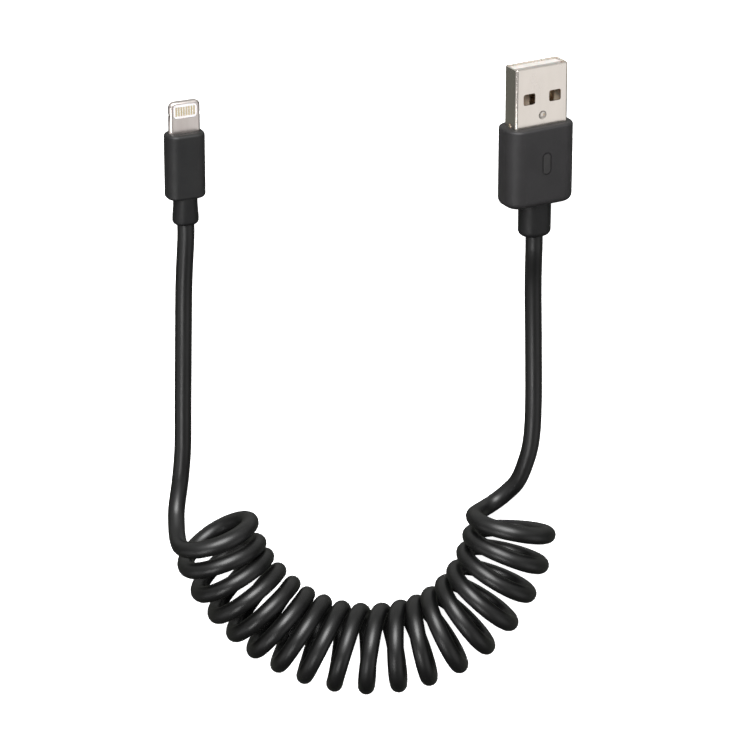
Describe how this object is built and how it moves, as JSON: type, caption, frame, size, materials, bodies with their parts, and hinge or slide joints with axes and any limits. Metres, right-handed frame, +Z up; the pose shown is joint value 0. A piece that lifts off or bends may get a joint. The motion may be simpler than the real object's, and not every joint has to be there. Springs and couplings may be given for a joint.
{
  "type": "charging cable",
  "caption": "Coiled charging cable: a black curly cord with straight tails, a flat rectangular host plug with a metal shell, and a slim reversible device plug with a metal tab.",
  "frame": {"origin": "centre of the box around the two plugs, on the surface the cable lies on", "axes": "+Y is the way both plugs point, +X runs from the slim device plug to the host plug, +Z is up from the surface"},
  "size_m": [0.0819, 0.136, 0.0192],
  "materials": {
    "housing": "dark grey, fine satin texture",
    "strain_relief": "dark grey, soft matte",
    "cord_jacket": "black, satin",
    "shell_metal": "nickel plated, bright satin",
    "tab_metal": "stainless steel, fine satin",
    "contact_gold": "gold plated, polished",
    "insulator": "white, smooth",
    "shield_metal": "tin plated, dull",
    "solder": "bright",
    "inner_mould": "natural, waxy",
    "wire_red": "smooth",
    "wire_white": "smooth",
    "wire_green": "smooth",
    "wire_black": "smooth",
    "circuit_board": "solder resist, glossy",
    "chip_case": "moulded, matte",
    "capacitor": "matte"
  },
  "bodies": {
    "root": {"host_shell": "shell_metal", "host_insulator": "insulator", "host_blade_power": "contact_gold", "host_blade_minus": "contact_gold", "host_blade_plus": "contact_gold", "host_blade_ground": "contact_gold", "host_rear_shield": "shield_metal", "host_crimp": "shield_metal", "host_solder_joints": "solder", "host_wire_red": "wire_red", "host_wire_white": "wire_white", "host_wire_green": "wire_green", "host_wire_black": "wire_black", "host_inner_mould": "inner_mould", "host_housing": "housing", "host_strain_relief": "strain_relief", "tip_tab": "tab_metal", "tip_insert_front": "insulator", "tip_insert_back": "insulator", "tip_pads_front": "contact_gold", "tip_pads_back": "contact_gold", "tip_circuit_board": "circuit_board", "tip_control_chip": "chip_case", "tip_capacitors": "capacitor", "tip_shield_upper": "shield_metal", "tip_shield_lower": "shield_metal", "tip_crimp": "shield_metal", "tip_solder_joints": "solder", "tip_wire_red": "wire_red", "tip_wire_white": "wire_white", "tip_wire_green": "wire_green", "tip_wire_black": "wire_black", "tip_inner_mould": "inner_mould", "tip_housing": "housing", "tip_strain_relief": "strain_relief", "cord_host_tail": "cord_jacket", "cord_coil": "cord_jacket", "cord_tip_tail": "cord_jacket"}
  },
  "joints": []
}
